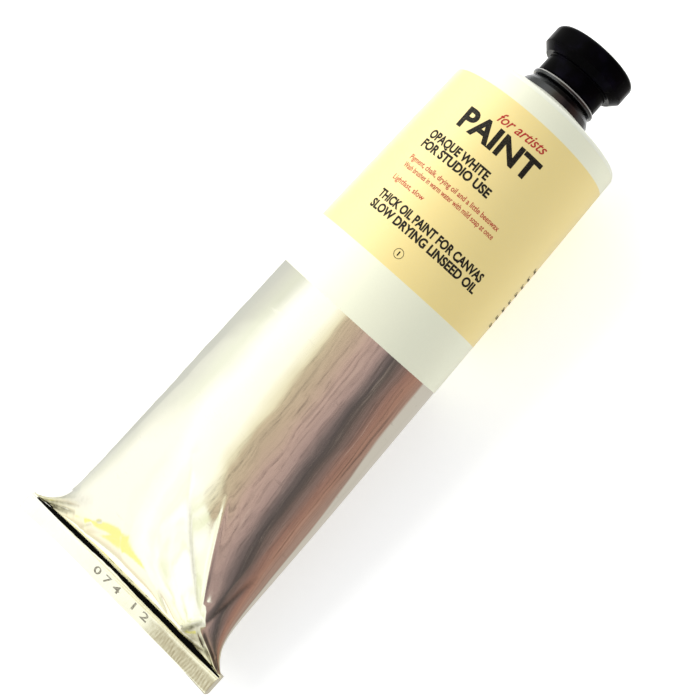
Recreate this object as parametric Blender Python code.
"""Large aluminium artists' paint tube with a screw cap, lying on its flattened belly.

Units are metres.  Every piece is shaped in the tube's own frame: x runs along the axis towards
the cap, with x = 0 at the shoulder corner, y across the tube and z up through the top of the
barrel.  The barrel gets lower towards the tail, so the tube is then laid down with its nozzle a
few degrees up, until the belly rests on the ground, and centred over the origin.

Distances called `s` run along the barrel from the shoulder corner towards the tail, so s = -x.
"""

import math

import bmesh
import bpy
import numpy as np
from mathutils import Matrix, Vector

# ---- barrel ---------------------------------------------------------------------------------
BARREL_RADIUS = 0.0200       # outside of the bare metal at the shoulder
BARREL_LENGTH = 0.1360       # shoulder corner to the inner edge of the tail fold
BARREL_TAPER = 0.0540        # half-height lost per length towards the tail
SHEET = 0.00035              # wall of the barrel
CLOSING_LENGTH = 0.0400      # last stretch, where top and belly run together
EAR_LENGTH = 0.0032          # reach of the flare at the two corners of the tail
BELLY_FLAT = 0.0004          # depth by which the belly is pressed flat where the closing begins

# ---- tail fold ------------------------------------------------------------------------------
FOLD_LENGTH = 0.0053         # width of the folded strip, along the tube
FOLD_TUCK = 0.0004           # lost from half the flattened girth at each end of the fold
FOLD_THICKNESS = 0.0024
FOLD_SKEW = -0.0600          # the fold is out of square: shift in x per distance across
SEAL_THICKNESS = 0.0003      # band of sealing compound pressed inside the fold
SEAL_MARGIN = 0.0006         # metal left beyond the band along the tube
SEAL_SIDE = 0.0012           # metal left beyond the band at each side

# ---- shoulder, neck and nozzle ----------------------------------------------------------------
SHOULDER_ROUND = 0.0011
SHOULDER_SHEET = 0.0009      # wall of the cone
NECK_BASE_X = 0.0019         # top of the cone
NECK_BASE_RADIUS = 0.0092
NECK_WAIST_X = 0.0048
NECK_WAIST_RADIUS = 0.0073
LEDGE_TOP_X = 0.00585        # ring that the cap closes down onto
LEDGE_RADIUS = 0.00815
LEDGE_ROUND = 0.0004
MOUTH_X = 0.0136             # end of the nozzle
MOUTH_CHAMFER = 0.0004
BORE_RADIUS = 0.0042

# ---- screw thread ---------------------------------------------------------------------------
THREAD_ROOT_RADIUS = 0.0057
THREAD_HEIGHT = 0.0007
THREAD_PITCH = 0.0020        # right-hand
THREAD_FADE = 0.0009         # run-out at both ends
THREAD_STEP = 0.0003         # spacing of the rings that draw the thread
THREAD_CLEARANCE = 0.0003

# ---- cap --------------------------------------------------------------------------------------
CAP_TOP_X = 0.0162
CAP_SKIRT_RADIUS = 0.0077
CAP_UNDERCUT_X = 0.0098      # underside of the wide disc
CAP_UNDERCUT_RADIUS = 0.00845
CAP_DISC_RADIUS = 0.0104
CAP_DISC_X = 0.0116          # where the chamfer below the disc ends
CAP_EDGE_ROUND = 0.0008
CAP_ROOF = 0.0012
LINER_THICKNESS = 0.0008

# ---- label and paint ---------------------------------------------------------------------------
LABEL_START = 0.0012         # shoulder corner to the label's front edge
LABEL_END = 0.0607           # shoulder corner to the label's rear edge
LABEL_THICKNESS = 0.0002
LABEL_RUN_OUT = 0.0050       # stretch in which the bare belly sinks to the table
PAINT_SHORT = 0.0035         # stretch ahead of the fold that the paint leaves empty
PAINT_RECESS = 0.0052        # paint surface below the mouth of the nozzle

CLEARANCE = 0.0003           # between pieces that touch
SEGMENTS = 36                # points around every ring, a multiple of four
ARC_STEPS = 4

LABEL_BUILD_UP = CLEARANCE + LABEL_THICKNESS
CLOSING_START = BARREL_LENGTH - CLOSING_LENGTH
TILT = math.atan(BARREL_TAPER + BELLY_FLAT / CLOSING_START)
AXIS_HEIGHT = (BARREL_RADIUS + LABEL_BUILD_UP) * math.cos(TILT)
FOLD_HALF_WIDTH = BARREL_RADIUS * math.pi / 2 - FOLD_TUCK
SLOT_HALF_HEIGHT = SEAL_THICKNESS / 2 + CLEARANCE
MOUTH_OF_FOLD = SLOT_HALF_HEIGHT + SHEET
ANGLES = np.linspace(0.0, 2.0 * math.pi, SEGMENTS, endpoint=False)


def smoothstep(value):
    """Ease from 0 to 1 as value goes from 0 to 1."""
    value = min(max(value, 0.0), 1.0)
    return value * value * (3.0 - 2.0 * value)


def straight_height(s):
    """Half-height of the barrel before it closes: a straight taper from the shoulder."""
    return BARREL_RADIUS - BARREL_TAPER * s


def girth_width(s):
    """Half-width of the ellipse that keeps the sheet's girth at that half-height."""
    return math.sqrt(2.0 * BARREL_RADIUS**2 - straight_height(s) ** 2)


def half_width(s):
    """Half-width of the barrel with its two ears at the tail."""
    ear = FOLD_HALF_WIDTH - girth_width(BARREL_LENGTH) - SHEET / 2
    return girth_width(s) + ear * math.exp((s - BARREL_LENGTH) / EAR_LENGTH)


def half_height(s):
    """Half-height of the barrel, closing like a quarter ellipse to the mouth of the fold."""
    height = straight_height(s)
    if s <= CLOSING_START:
        return height
    end_share = MOUTH_OF_FOLD / straight_height(BARREL_LENGTH)
    reach = CLOSING_LENGTH / math.sqrt(1.0 - end_share**2)
    return height * math.sqrt(1.0 - ((s - CLOSING_START) / reach) ** 2)


def label_lift(s):
    """Share of the label's build-up that still holds the metal off the ground at s."""
    return 1.0 - smoothstep((s - LABEL_END - CLEARANCE) / LABEL_RUN_OUT)


def skew(s):
    """Shift in x per distance across, growing from none to the fold's over the closing."""
    return FOLD_SKEW * smoothstep((s - CLOSING_START) / CLOSING_LENGTH)


def oval(s, half_y, half_z, centre_z=0.0):
    """Points of an ellipse across the barrel at s, as separate x, y and z."""
    y = half_y * np.cos(ANGLES)
    return skew(s) * y - s, y, centre_z + half_z * np.sin(ANGLES)


def barrel_ring(s, inset):
    """Ring of the barrel's section, moved into the sheet by inset, or out of it if negative.

    It is cut off level where the belly lies on the ground, or on the label that lies there.
    """
    lift = label_lift(s)
    x, y, z = oval(s, half_width(s) - inset, half_height(s) - inset, (lift - 1.0) * LABEL_BUILD_UP)
    ground = lift * LABEL_BUILD_UP + inset
    low = (ground - AXIS_HEIGHT - x * math.sin(TILT)) / math.cos(TILT)
    return np.column_stack((x, y, np.maximum(z, low)))


def fold_ring(s, half_y, half_z):
    """Ring of a flat bar in the tail fold, with narrow bevelled ends."""
    steepness = 8.0
    x, y, z = oval(s, half_y, steepness * half_z)
    return np.column_stack((x, y, np.clip(z, -half_z, half_z) - LABEL_BUILD_UP))


def turned_ring(x, radius):
    """Ring of a turned surface about the neck's axis; radius may vary around the ring."""
    y = radius * np.cos(ANGLES)
    return np.column_stack((np.full(SEGMENTS, x), y, radius * np.sin(ANGLES)))


def ridge(x):
    """Height of the rounded right-hand thread above its root, around the ring at x."""
    phase = 2.0 * math.pi * x / THREAD_PITCH - ANGLES
    return THREAD_HEIGHT * 0.5 * (1.0 + np.cos(phase))


def thread_share(x, start, end):
    """Share of the full thread at x, running out at both ends."""
    return smoothstep((x - start) / THREAD_FADE) * smoothstep((end - x) / THREAD_FADE)


def arc(centre_x, centre_r, radius, first_deg, last_deg):
    """Points (x, r) along a circular arc; 0 degrees points to +x and 90 degrees outwards."""
    turns = np.radians(np.linspace(first_deg, last_deg, ARC_STEPS))
    return [(centre_x + radius * math.cos(t), centre_r + radius * math.sin(t)) for t in turns]


def steps(first, last, spacing):
    """Evenly spaced values from first to last, about spacing apart."""
    count = max(2, round(abs(last - first) / spacing) + 1)
    return list(np.linspace(first, last, count))


def barrel_stations(first, last):
    """Places along the barrel from first to last, closer together towards the tail."""
    straight = steps(LABEL_END + LABEL_RUN_OUT, CLOSING_START, 0.010)
    front = [LABEL_END / 3, LABEL_END * 2 / 3, LABEL_END, LABEL_END + CLEARANCE + LABEL_RUN_OUT / 2]
    quarter = np.linspace(0.0, math.pi / 2, 13)[1:]
    closing = [CLOSING_START + CLOSING_LENGTH * math.sin(turn) for turn in quarter]
    between = [s for s in front + straight + closing if first < s < last]
    return [first] + between + [last]


def loft(name, rings, closed_loop=False):
    """Skin the rings into one closed body, capping the ends or joining the last to the first."""
    shape = bmesh.new()
    rows = [[shape.verts.new(point) for point in points] for points in rings]
    pairs = list(zip(rows, rows[1:]))
    if closed_loop:
        pairs.append((rows[-1], rows[0]))
    else:
        shape.faces.new(rows[0])
        shape.faces.new(reversed(rows[-1]))
    for lower, upper in pairs:
        for i in range(SEGMENTS):
            j = (i + 1) % SEGMENTS
            shape.faces.new((lower[i], lower[j], upper[j], upper[i]))
    bmesh.ops.recalc_face_normals(shape, faces=shape.faces)
    mesh = bpy.data.meshes.new(name)
    shape.to_mesh(mesh)
    shape.free()
    mesh.shade_smooth()
    mesh.set_sharp_from_angle(angle=math.radians(35))
    return mesh


def shoulder_cone_angle():
    """Slope of the shoulder cone, in degrees from the plane across the tube."""
    return math.degrees(math.atan2(NECK_BASE_X, BARREL_RADIUS - NECK_BASE_RADIUS))


def tube_outside():
    """Rings of the tube's outside, from the end of the tail to the mouth of the nozzle."""
    end = BARREL_LENGTH + FOLD_LENGTH
    rings = [fold_ring(s, FOLD_HALF_WIDTH, FOLD_THICKNESS / 2) for s in (end, BARREL_LENGTH)]
    rings += [barrel_ring(s, 0.0) for s in reversed(barrel_stations(SHOULDER_ROUND, BARREL_LENGTH))]
    corner = BARREL_RADIUS - SHOULDER_ROUND
    profile = arc(-SHOULDER_ROUND, corner, SHOULDER_ROUND, 90, shoulder_cone_angle())[1:]
    profile += [(NECK_BASE_X, NECK_BASE_RADIUS), (NECK_WAIST_X, NECK_WAIST_RADIUS)]
    ledge_r = LEDGE_RADIUS - LEDGE_ROUND
    profile += arc(NECK_WAIST_X + LEDGE_ROUND, ledge_r, LEDGE_ROUND, 180, 90)
    profile += arc(LEDGE_TOP_X - LEDGE_ROUND, ledge_r, LEDGE_ROUND, 90, 0)
    profile += [(LEDGE_TOP_X, THREAD_ROOT_RADIUS)]
    rings += [turned_ring(x, r) for x, r in profile]
    last = MOUTH_X - MOUTH_CHAMFER
    for x in steps(LEDGE_TOP_X + THREAD_STEP, last, THREAD_STEP):
        share = thread_share(x, LEDGE_TOP_X, last)
        rings.append(turned_ring(x, THREAD_ROOT_RADIUS + share * ridge(x)))
    rings.append(turned_ring(MOUTH_X, THREAD_ROOT_RADIUS - MOUTH_CHAMFER))
    return rings


def tube_inside():
    """Rings of the tube's inside, from the mouth of the nozzle back to the end of the fold."""
    bore_foot = NECK_BASE_X - SHOULDER_SHEET
    inner_radius = BARREL_RADIUS - SHEET
    inner_corner = SHOULDER_ROUND - SHOULDER_SHEET
    profile = [(MOUTH_X, BORE_RADIUS + MOUTH_CHAMFER / 2), (MOUTH_X - MOUTH_CHAMFER / 2, BORE_RADIUS),
               (bore_foot, BORE_RADIUS), (-SHOULDER_SHEET, inner_radius - inner_corner)]
    rings = [turned_ring(x, r) for x, r in profile]
    rings += [barrel_ring(s, SHEET) for s in barrel_stations(SHOULDER_ROUND, BARREL_LENGTH)]
    slot_side = FOLD_HALF_WIDTH - SEAL_SIDE + CLEARANCE
    first = BARREL_LENGTH + CLEARANCE
    last = BARREL_LENGTH + FOLD_LENGTH - SEAL_MARGIN
    rings += [fold_ring(s, slot_side, SLOT_HALF_HEIGHT) for s in (first, last)]
    return rings


def tube_mesh():
    """Tube body: barrel, folded tail, shoulder, ledge and threaded nozzle in one sheet."""
    return loft("tube_body", tube_outside() + tube_inside())


def seal_mesh():
    """Band of sealing compound inside the fold."""
    first = BARREL_LENGTH + 2 * CLEARANCE
    last = BARREL_LENGTH + FOLD_LENGTH - SEAL_MARGIN - CLEARANCE
    half_y = FOLD_HALF_WIDTH - SEAL_SIDE
    return loft("tail_seal_band", [fold_ring(s, half_y, SEAL_THICKNESS / 2) for s in (last, first)])


def paint_mesh():
    """Paint inside the barrel, with a plug of it standing in the nozzle."""
    inset = SHEET + CLEARANCE
    front = SHOULDER_ROUND + CLEARANCE
    rings = [barrel_ring(s, inset) for s in reversed(barrel_stations(front, BARREL_LENGTH - PAINT_SHORT))]
    cone_drop = SHOULDER_SHEET + CLEARANCE
    plug = BORE_RADIUS - CLEARANCE
    profile = [(-cone_drop, BARREL_RADIUS - inset - SHOULDER_ROUND + SHOULDER_SHEET),
               (NECK_BASE_X - cone_drop - CLEARANCE, plug),
               (MOUTH_X - PAINT_RECESS, plug)]
    rings += [turned_ring(x, r) for x, r in profile]
    return loft("paint_fill", rings)


def label_mesh():
    """Printed wrap around the front half of the barrel."""
    stations = barrel_stations(LABEL_START, LABEL_END)
    outside = [barrel_ring(s, -LABEL_BUILD_UP) for s in reversed(stations)]
    inside = [barrel_ring(s, -CLEARANCE) for s in stations]
    return loft("label_wrap", outside + inside, closed_loop=True)


def cap_mesh():
    """Screw cap: threaded skirt under a wider plain disc with a rounded edge."""
    rim_x = LEDGE_TOP_X + CLEARANCE
    bore = THREAD_ROOT_RADIUS + THREAD_HEIGHT + THREAD_CLEARANCE
    roof_x = CAP_TOP_X - CAP_ROOF
    edge_x = CAP_TOP_X - CAP_EDGE_ROUND
    edge_r = CAP_DISC_RADIUS - CAP_EDGE_ROUND
    outside = arc(edge_x, edge_r, CAP_EDGE_ROUND, 0, 90)
    outside += [(CAP_DISC_X, CAP_DISC_RADIUS), (CAP_UNDERCUT_X, CAP_UNDERCUT_RADIUS),
                (CAP_UNDERCUT_X, CAP_SKIRT_RADIUS), (rim_x, CAP_SKIRT_RADIUS), (rim_x, bore)]
    rings = [turned_ring(x, r) for x, r in outside]
    last = MOUTH_X - MOUTH_CHAMFER
    for x in steps(rim_x + THREAD_STEP, last, THREAD_STEP):
        share = thread_share(x, rim_x, last)
        rings.append(turned_ring(x, bore - share * (THREAD_HEIGHT - ridge(x))))
    rings.append(turned_ring(roof_x, bore))
    return loft("cap", rings)


def liner_mesh():
    """Sealing disc between the mouth of the nozzle and the cap's roof."""
    radius = THREAD_ROOT_RADIUS + THREAD_HEIGHT + THREAD_CLEARANCE - CLEARANCE
    first = MOUTH_X + CLEARANCE
    return loft("cap_liner", [turned_ring(x, radius) for x in (first + LINER_THICKNESS, first)])


def material(name, colour, roughness, metallic):
    """Plain Principled material."""
    made = bpy.data.materials.new(name)
    made.use_nodes = True
    shader = made.node_tree.nodes["Principled BSDF"]
    shader.inputs["Base Color"].default_value = (*colour, 1.0)
    shader.inputs["Roughness"].default_value = roughness
    shader.inputs["Metallic"].default_value = metallic
    return made


def place(mesh, finish, pivot=None):
    """Put a mesh in the scene, moving its origin onto the pivot empty if it has one."""
    piece = bpy.data.objects.new(mesh.name, mesh)
    mesh.materials.append(finish)
    bpy.context.scene.collection.objects.link(piece)
    if pivot:
        mesh.transform(Matrix.Translation(-pivot.location))
        piece.parent = pivot


def lay_down(meshes):
    """Tilt the finished meshes about the shoulder, and centre them over the origin.

    Returns the whole movement, which the cap's pivot needs too.
    """
    turn = Matrix.Rotation(-TILT, 4, "Y")
    points = np.array([turn @ vertex.co for mesh in meshes for vertex in mesh.vertices])
    middle = (points.min(axis=0) + points.max(axis=0)) / 2.0
    movement = Matrix.Translation((-middle[0], -middle[1], AXIS_HEIGHT)) @ turn
    for mesh in meshes:
        mesh.transform(movement)
    return movement


def cap_pivot(movement):
    """Empty on the neck's axis, level with the ledge, that the cap turns and travels about."""
    pivot = bpy.data.objects.new("cap_pivot", None)
    pivot.location = movement @ Vector((LEDGE_TOP_X, 0.0, 0.0))
    bpy.context.scene.collection.objects.link(pivot)
    return pivot


def main():
    """Build every piece of the tube."""
    for existing in list(bpy.data.objects):
        bpy.data.objects.remove(existing, do_unlink=True)
    tube, seal, paint, label = tube_mesh(), seal_mesh(), paint_mesh(), label_mesh()
    cap, liner = cap_mesh(), liner_mesh()
    pivot = cap_pivot(lay_down([tube, seal, paint, label, cap, liner]))
    place(tube, material("bare_aluminium", (0.80, 0.79, 0.75), 0.18, 1.0))
    place(seal, material("seal_compound", (0.16, 0.15, 0.13), 0.70, 0.0))
    place(paint, material("white_paint", (0.93, 0.92, 0.88), 0.35, 0.0))
    place(label, material("printed_wrap", (0.96, 0.90, 0.62), 0.40, 0.0))
    place(cap, material("black_plastic", (0.012, 0.012, 0.014), 0.22, 0.0), pivot)
    place(liner, material("liner_foam", (0.85, 0.85, 0.82), 0.60, 0.0), pivot)


main()
